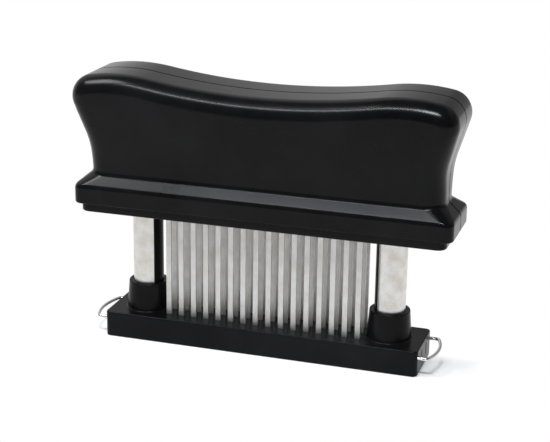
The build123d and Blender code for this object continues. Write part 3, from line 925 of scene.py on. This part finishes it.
class TENDERIZER_OT_plate(bpy.types.Operator):
    """Model the plate that closes the handle from below"""

    bl_idname = "tenderizer.plate"
    bl_label = "Bottom Plate"

    def execute(self, context):
        sizes, screws, columns, blades, base = settings("handle", "screws", "columns", "blades", "base")
        end_x, end_y = sizes.length / 2, sizes.skirt_depth / 2
        low, high = sizes.skirt_bottom - sizes.plate_thickness, sizes.skirt_bottom
        half_x, half_y = end_x - sizes.plate_end_inset, end_y - sizes.plate_side_inset
        plate = slab("bottom_cover", half_x, half_y, low, high, sizes.plate_corner, 8)
        bevel(plate, lambda e: at_level(e, low), sizes.plate_edge, 4)
        inset, rise = sizes.wall + sizes.tongue_gap, sizes.tongue_height
        outer_x, outer_y = end_x - inset, end_y - inset
        inner_x, inner_y = outer_x - sizes.tongue_width, outer_y - sizes.tongue_width
        tongue = slab("tongue", outer_x, outer_y, high - SINK, high + rise, sizes.skirt_corner - inset, 4)
        cut(tongue, [block("inner", (-inner_x, -inner_y, low), (inner_x, inner_y, high + 2 * rise))])
        cut(plate, [tongue], "UNION")
        through = (low - SPARE, high + SPARE)
        tools = [slot_tools(blades, base.slot_clearance, *through)]
        for side in BOTH:
            tools.append(rod("bore", (side * columns.x, 0, 0), through, columns.bush_radius + columns.bush_play))
            for across in BOTH:
                place = (side * screws.plate_x, across * screws.plate_y, 0)
                tools.append(rod("recess", place, (low - SPARE, screws.plate_seat), screws.recess, sides=48))
                tools.append(rod("hole", place, through, screws.hole, sides=32))
        cut(plate, tools)
        smooth(plate)
        settle(plate, "handle", MATERIALS["plastic"], ["bottom_plate"])
        return {"FINISHED"}


class TENDERIZER_OT_base(bpy.types.Operator):
    """Model the slotted base with its two column bosses"""

    bl_idname = "tenderizer.base"
    bl_label = "Base"

    def execute(self, context):
        sizes, columns, blades, clips = settings("base", "columns", "blades", "clips")
        half_x, top = sizes.length / 2, sizes.height
        rim = top + sizes.boss_height
        base = slab("slotted_base", half_x, sizes.depth / 2, 0, top, sizes.corner, 7)
        for level in (0, top):
            bevel(base, lambda e: at_level(e, level), sizes.edge, 4)
        sink = 2 * SINK
        taper = (sizes.boss_foot - sizes.boss_top) / sizes.boss_height
        for side in BOTH:
            clear_selection()
            bpy.ops.mesh.primitive_cone_add(
                vertices=128, radius1=sizes.boss_foot + sink * taper, radius2=sizes.boss_top,
                depth=sizes.boss_height + sink,
                location=(side * columns.x, 0, top + (sizes.boss_height - sink) / 2),
            )
            boss = added("boss")
            bevel(boss, lambda e: at_level(e, rim), sizes.boss_rim, 3)
            cut(base, [boss], "UNION")

        def boss_foot(edge):
            places = [Vector((abs(v.co.x) - columns.x, v.co.y)) for v in edge.verts]
            return at_level(edge, top, NEAR) and all(abs(p.length - sizes.boss_foot) < 10 * NEAR for p in places)

        bevel(base, boss_foot, sizes.boss_fillet, 4)
        tools = []
        foot_x, foot_y, slit = sizes.pocket_length / 2, sizes.pocket_depth / 2, sizes.slit_width / 2
        for side in BOTH:
            x, inside, outside = side * columns.x, side * (half_x - sizes.slit_depth), side * (half_x + SPARE)
            tools.append(rod("bore", (x, 0, 0), (sizes.pocket_top - SINK, rim + SPARE), sizes.bore))
            tools.append(block("pocket", (x - foot_x, -foot_y, -SPARE), (x + foot_x, foot_y, sizes.pocket_top)))
            for across in BOTH:
                leg, y = (0, across * clips.leg_y, clips.z), across * sizes.slit_spacing / 2
                corners = (inside, y - slit, sizes.slit_bottom), (outside, y + slit, sizes.slit_top)
                tools.append(rod("wire_hole", leg, (side * sizes.hole_end, outside), sizes.hole, "X", 32))
                tools.append(block("slit", *corners))
        tools.append(slot_tools(blades, sizes.slot_clearance, -SPARE, top + SPARE))
        cut(base, tools)
        clean_mesh(base)
        reach = row_reach(blades) + blades.width

        def slot_mouth(edge):
            return at_level(edge, top) and all(abs(v.co.x) < reach for v in edge.verts) and sharp(edge, 60)

        bevel(base, slot_mouth, sizes.slot_edge, 2)
        smooth(base)
        settle(base, "base", MATERIALS["base"], ["base_plate"])
        return {"FINISHED"}


# Columns


def column_ring(name, sizes, side, z):
    """A column's circle in edit mode, and the angle of its points from the side that faces the blades."""
    piece = ring(name, 360, sizes.radius, (side * sizes.x, 0, z))
    edit(piece, "VERT")
    return piece, lambda v: abs(atan2(v.co.y, -side * (v.co.x - side * sizes.x)))


def model_core(name, side, sizes, clips):
    """The plastic core with its strip, and the foot below it with notches for the wires."""
    x, low = side * sizes.x, sizes.foot_top - SINK
    core, turn = column_ring(f"column_{name}", sizes, side, low)
    choose("VERT", lambda v: turn(v) > sizes.strip - sizes.gap)
    ratio = (sizes.radius - sizes.sleeve) / sizes.radius
    resize((ratio, ratio, 1), (x, 0, low))
    select_all()
    bpy.ops.mesh.edge_face_add()
    extend((0, 0, sizes.top - low))
    clean_mesh(core)
    foot_x, foot_y = sizes.foot_length / 2, sizes.foot_depth / 2
    foot = block("foot", (x - foot_x, -foot_y, sizes.foot_bottom), (x + foot_x, foot_y, sizes.foot_top))
    bevel(foot, lambda e: True, sizes.foot_edge, 2)
    along, across, half = foot_x + SPARE, foot_y + SPARE, sizes.notch_height / 2
    for end in BOTH:
        corners = (x - along, end * sizes.notch_y, clips.z - half), (x + along, end * across, clips.z + half)
        cut(foot, [block("notch", *corners)])
    cut(core, [foot], "UNION")
    smooth(core)
    settle(core, "base", MATERIALS["base"], [f"column_core_{name}"])


def model_sleeve(name, side, sizes):
    """The rolled steel sleeve, open at the strip."""
    sleeve, turn = column_ring(f"sleeve_{name}", sizes, side, sizes.sleeve_bottom)
    choose("VERT", lambda v: turn(v) <= sizes.strip + sizes.gap)
    bpy.ops.mesh.delete(type="VERT")
    select_all()
    extend((0, 0, sizes.top - sizes.sleeve_bottom))
    select_all()
    face_outwards()
    mesh = bmesh.from_edit_mesh(sleeve.data)
    face = next(iter(mesh.faces))
    place = face.calc_center_median()
    if face.normal.dot(place - Vector((side * sizes.x, 0, place.z))) < 0:
        bpy.ops.mesh.flip_normals()
    thicken(sleeve, sizes.sleeve - sizes.fit)
    bevel(sleeve, lambda e: sharp(e, 50), sizes.sleeve_edge, 2)
    smooth(sleeve)
    settle(sleeve, "base", MATERIALS["sleeve"], [f"column_sleeve_{name}"])


def model_bush(name, side, sizes, handle):
    """The bush in the handle's plate that slides on a column, with its flange above the plate."""
    place, low, high = (side * sizes.x, 0, 0), handle.skirt_bottom - handle.plate_thickness, handle.skirt_bottom
    top = high + sizes.flange_thickness
    bush = rod(f"bush_{name}", place, (low, high + SINK), sizes.bush_radius)
    cut(bush, [rod("flange", place, (high, top), sizes.flange_radius)], "UNION")
    cut(bush, [rod("bore", place, (low - SPARE, top + SPARE), sizes.bush_bore)])
    bevel(bush, lambda e: sharp(e, 60) and at_level(e, low), sizes.bush_edge, 2)
    smooth(bush)
    settle(bush, "handle", MATERIALS["bush"], [f"guide_bush_{name}"])


class TENDERIZER_OT_columns(bpy.types.Operator):
    """Model the plastic columns, their open steel sleeves and the guide bushes"""

    bl_idname = "tenderizer.columns"
    bl_label = "Columns"

    def execute(self, context):
        sizes, handle, clips = settings("columns", "handle", "clips")
        for name, side in SIDES.items():
            model_core(name, side, sizes, clips)
            model_sleeve(name, side, sizes)
            model_bush(name, side, sizes, handle)
        return {"FINISHED"}


# Blades, springs and wire clips


class TENDERIZER_OT_blades(bpy.types.Operator):
    """Model the three rows of flat blades"""

    bl_idname = "tenderizer.blades"
    bl_label = "Blades"

    def execute(self, context):
        (sizes,) = settings("blades")
        first = -row_reach(sizes)
        neck, widening = sizes.top - sizes.head_height, (sizes.head_width - sizes.width) / 2
        half_x, half_y = sizes.width / 2, sizes.thickness / 2
        for name, row in ROWS.items():
            y = row * sizes.row_spacing
            corners = (first - half_x, y - half_y, sizes.tip), (first + half_x, y + half_y, sizes.top)
            blade = block(f"blade_row_{name}", *corners)
            edit(blade, "VERT")
            bisect_all((0, 0, neck), (0, 0, 1))
            choose("FACE", lambda f: abs(f.normal.x) > 0.9 and f.calc_center_median().z > neck)
            bpy.ops.mesh.extrude_region_shrink_fatten(TRANSFORM_OT_shrink_fatten={"value": widening})
            choose("VERT", lambda v: v.co.z < sizes.tip + TOUCH and v.co.x < first)
            shift((0, 0, sizes.slant))
            clean_mesh(blade)
            bevel(blade, lambda e: sharp(e, 30), sizes.edge, 2)
            smooth(blade, 40)
            repeat(blade, sizes.count, sizes.pitch)
            settle(blade, "handle", MATERIALS["blade"], [f"blades_{name}"])
        return {"FINISHED"}


def coil(name, sizes, z, rise, turns):
    """A run of spring wire round the Z axis, open at both ends."""
    piece = ring(name, 10, sizes.wire, (sizes.radius, 0, z), (pi / 2, 0, 0))
    apply_modifier(
        piece, "SCREW", axis="Z", angle=2 * pi, screw_offset=rise, iterations=turns, steps=36, render_steps=36,
        use_normal_calculate=True,
    )
    return piece


class TENDERIZER_OT_springs(bpy.types.Operator):
    """Wind the two return springs"""

    bl_idname = "tenderizer.springs"
    bl_label = "Return Springs"

    def execute(self, context):
        sizes, columns = settings("springs", "columns")
        low, high = sizes.bottom + sizes.wire, sizes.top - sizes.wire
        pitch = (high - low - 2 * sizes.end_pitch) / sizes.turns
        for name, side in SIDES.items():
            parts = [
                coil(f"spring_{name}", sizes, low, sizes.end_pitch, 1),
                coil("open_turns", sizes, low + sizes.end_pitch, pitch, sizes.turns),
                coil("end_turn", sizes, high - sizes.end_pitch, sizes.end_pitch, 1),
            ]
            spring = joined(f"spring_{name}", parts)
            edit(spring, "VERT")
            select_all()
            bpy.ops.mesh.remove_doubles(threshold=2 * NEAR)
            for z in (low, high):
                choose("EDGE", lambda e: len(e.link_faces) == 1 and at_level(e, z, 2 * sizes.wire))
                bpy.ops.mesh.edge_face_add()
            select_all()
            shift((side * columns.x, 0, 0))
            face_outwards()
            smooth(spring, 50)
            settle(spring, "base", MATERIALS["spring"], [f"return_spring_{name}"])
            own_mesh(spring)
        return {"FINISHED"}


class TENDERIZER_OT_clips(bpy.types.Operator):
    """Bend the two wire clips that lock the base"""

    bl_idname = "tenderizer.clips"
    bl_label = "Wire Clips"

    def execute(self, context):
        (sizes,) = settings("clips")
        rise = sizes.bow_x - sizes.corner_x
        bow = (sizes.leg_y**2 + rise**2) / (2 * rise)
        bow_centre = sizes.bow_x - bow
        bend_y, reach = sizes.leg_y - sizes.bend, bow - sizes.bend
        bend_x = bow_centre + sqrt(reach**2 - bend_y**2)
        leg, half_bow = bend_x - sizes.leg_end, asin(bend_y / reach)
        corner = pi / 2 - half_bow
        for name, side in SIDES.items():
            start = (side * sizes.leg_end, -sizes.leg_y, sizes.z)
            wire = ring(f"wire_clip_{name}", 24, sizes.radius, start, (0, pi / 2, 0), "NGON")
            bpy.ops.object.mode_set(mode="EDIT")
            select_all()
            extend((side * leg, 0, 0))
            arc((side * bend_x, -bend_y, sizes.z), -side * corner, 8, axis=(0, 0, 1))
            arc((side * bow_centre, 0, sizes.z), -side * 2 * half_bow, 22, axis=(0, 0, 1))
            arc((side * bend_x, bend_y, sizes.z), -side * corner, 8, axis=(0, 0, 1))
            extend((-side * leg, 0, 0))
            clean_mesh(wire)
            bevel(wire, lambda e: sharp(e, 60), sizes.edge, 2)
            smooth(wire, 40)
            settle(wire, f"clip_{name}", MATERIALS["wire"], [f"clip_{name}"])
        return {"FINISHED"}


class TENDERIZER_OT_inner(bpy.types.Operator):
    """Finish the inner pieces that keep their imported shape"""

    bl_idname = "tenderizer.inner"
    bl_label = "Inner Pieces"

    def execute(self, context):
        for finish, nodes in INNER_NODES.items():
            for node in nodes:
                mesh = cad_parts[node].data
                mesh.materials.clear()
                mesh.materials.append(MATERIALS[finish])
        return {"FINISHED"}


# Stage


def lamp(name, place, size, power, colour=(1, 1, 1)):
    """A soft rectangular lamp that points at the middle of the object."""
    aim = Vector((0, 0, 60 * MM))
    data = bpy.data.lights.new(name, "AREA")
    data.shape = "RECTANGLE"
    data.size, data.size_y = size
    data.energy = power
    data.color = colour
    light = bpy.data.objects.new(name, data)
    bpy.context.scene.collection.objects.link(light)
    light.location = place
    light.rotation_euler = (aim - Vector(place)).to_track_quat("-Z", "Y").to_euler()


def floor_material(stage, colour):
    """White floor that keeps the shadow close round the base."""
    material, shader, output = new_material("pale_floor")
    tree = material.node_tree
    for label, value in {"Base Color": colour, "Roughness": 0.8, "Specular IOR Level": 0.0}.items():
        shader.inputs[label].default_value = value
    place = axes_of(tree, "Object")
    reach = maths(
        tree, "MAXIMUM",
        maths(tree, "SUBTRACT", maths(tree, "ABSOLUTE", place["X"], 0.0), stage.shadow_x),
        maths(tree, "SUBTRACT", maths(tree, "MULTIPLY", place["Y"], -1.0), stage.shadow_front),
        maths(tree, "SUBTRACT", place["Y"], stage.shadow_y),
    )
    keep = spread(tree, reach, 0.0, stage.shadow_fade, stage.shadow_depth, 0.0)
    ray = tree.nodes.new("ShaderNodeLightPath").outputs
    seen = maths(tree, "MAXIMUM", ray["Is Camera Ray"], ray["Is Glossy Ray"], ray["Is Transmission Ray"])
    white = maths(tree, "MULTIPLY", seen, maths(tree, "SUBTRACT", 1.0, keep))
    glow = tree.nodes.new("ShaderNodeEmission").outputs[0]
    blend = tree.nodes.new("ShaderNodeMixShader")
    for socket, value in zip(blend.inputs, (white, shader.outputs[0], glow)):
        feed(tree, socket, value)
    feed(tree, output.inputs["Surface"], blend.outputs[0])
    return material


def light_world(world, stage):
    """White to the camera, dim for matt surfaces, and a room with dim sides in reflections."""
    world.use_nodes = True
    tree = world.node_tree
    tree.nodes.clear()
    way = axes_of(tree, "Generated")
    behind = spread(tree, way["Y"], -0.15, 0.2, stage.room, 1.0)
    below = spread(tree, way["Z"], 0.72, 0.86, 1.0, stage.room)
    dusk = spread(tree, way["Z"], 0.10, 0.28, 1.0, 0.60)
    dawn = spread(tree, way["Z"], 0.34, 0.62, 0.60, 1.0)
    left = spread(tree, way["X"], -0.45, -0.05, 1.0, 0.42)
    ray = tree.nodes.new("ShaderNodeLightPath").outputs
    shiny = maths(tree, "MAXIMUM", ray["Is Glossy Ray"], ray["Is Transmission Ray"])
    matt = maths(tree, "SUBTRACT", 1.0, maths(tree, "ADD", shiny, ray["Is Camera Ray"]))
    edges, band = maths(tree, "MINIMUM", behind, below), maths(tree, "MAXIMUM", dusk, dawn)
    mirrored = maths(tree, "MULTIPLY", edges, band, left, shiny)
    strength = maths(tree, "ADD", ray["Is Camera Ray"], mirrored, maths(tree, "MULTIPLY", matt, stage.ambient))
    background = tree.nodes.new("ShaderNodeBackground")
    feed(tree, background.inputs["Color"], (1.0, 1.0, 1.0, 1.0))
    feed(tree, background.inputs["Strength"], strength)
    feed(tree, tree.nodes.new("ShaderNodeOutputWorld").inputs["Surface"], background.outputs[0])


def new_camera(stage):
    """The camera at the photograph's viewing angle."""
    turn, height, roll = stage.azimuth, stage.elevation, stage.roll
    back = Vector((sin(turn) * cos(height), -cos(turn) * cos(height), sin(height)))
    right = Vector((cos(turn), sin(turn), 0))
    up = back.cross(right)
    tilted_right = right * cos(roll) + up * sin(roll)
    tilted_up = up * cos(roll) - right * sin(roll)
    centre = Vector((0, 0, stage.aim_z))
    place = centre + back * stage.distance - tilted_right * stage.aim_right - tilted_up * stage.aim_up
    data = bpy.data.cameras.new("camera")
    data.lens = stage.lens
    data.sensor_width, data.sensor_fit = 36, "HORIZONTAL"
    data.clip_start, data.clip_end = 0.01, 20
    camera = bpy.data.objects.new("camera", data)
    bpy.context.scene.collection.objects.link(camera)
    axes = Matrix((tilted_right, tilted_up, back)).transposed().to_4x4()
    camera.matrix_world = Matrix.Translation(place) @ axes
    return camera


class TENDERIZER_OT_stage(bpy.types.Operator):
    """Set up the floor, the light and the camera"""

    bl_idname = "tenderizer.stage"
    bl_label = "Stage"

    def execute(self, context):
        scene = context.scene
        stage, finish = settings("stage", "finish")
        scene.view_settings.view_transform = "Standard"
        scene.camera = new_camera(stage)

        clear_selection()
        bpy.ops.mesh.primitive_grid_add(x_subdivisions=8, y_subdivisions=8, size=6, location=(0, 0, 0))
        floor = added("floor")
        floor.data.materials.append(floor_material(stage, (*finish.floor, 1.0)))

        scene.world = bpy.data.worlds.new("studio")
        light_world(scene.world, stage)
        lamp("strip", (-0.02, -0.42, 0.80), (0.62, 0.05), stage.overhead_power, (0.88, 0.93, 1.0))
        lamp("key", (-0.48, -0.21, 0.85), (0.28, 0.28), stage.key_power)
        lamp("side", (0.06, -0.39, 0.82), (0.12, 0.12), stage.side_power)
        return {"FINISHED"}


OPERATORS = (
    TENDERIZER_OT_stage,
    TENDERIZER_OT_handle,
    TENDERIZER_OT_plate,
    TENDERIZER_OT_base,
    TENDERIZER_OT_columns,
    TENDERIZER_OT_blades,
    TENDERIZER_OT_springs,
    TENDERIZER_OT_clips,
    TENDERIZER_OT_inner,
)


class TENDERIZER_PT_pieces(bpy.types.Panel):
    """Sizes and pieces of the tenderizer"""

    bl_idname = "TENDERIZER_PT_pieces"
    bl_label = "Meat Tenderizer"
    bl_space_type = "VIEW_3D"
    bl_region_type = "UI"
    bl_category = "Tenderizer"

    def draw(self, context):
        for operator in OPERATORS:
            self.layout.operator(operator.bl_idname)
        for label in GROUPS:
            box = self.layout.box()
            group = getattr(context.scene, label)
            for name in group.__annotations__:
                box.prop(group, name)


CLASSES = (*GROUPS.values(), *OPERATORS, TENDERIZER_PT_pieces)


def register():
    """Register the classes and attach the sizes to the scene."""
    for item in CLASSES:
        bpy.utils.register_class(item)
    for label, group in GROUPS.items():
        setattr(bpy.types.Scene, label, PointerProperty(type=group))


def unregister():
    """Remove the sizes and the classes."""
    for label in GROUPS:
        delattr(bpy.types.Scene, label)
    for item in reversed(CLASSES):
        bpy.utils.unregister_class(item)


def main():
    """Build the whole object."""
    register()
    build_materials()
    for operator in OPERATORS:
        group, name = operator.bl_idname.split(".")
        getattr(getattr(bpy.ops, group), name)()


if __name__ == "__main__":
    main()
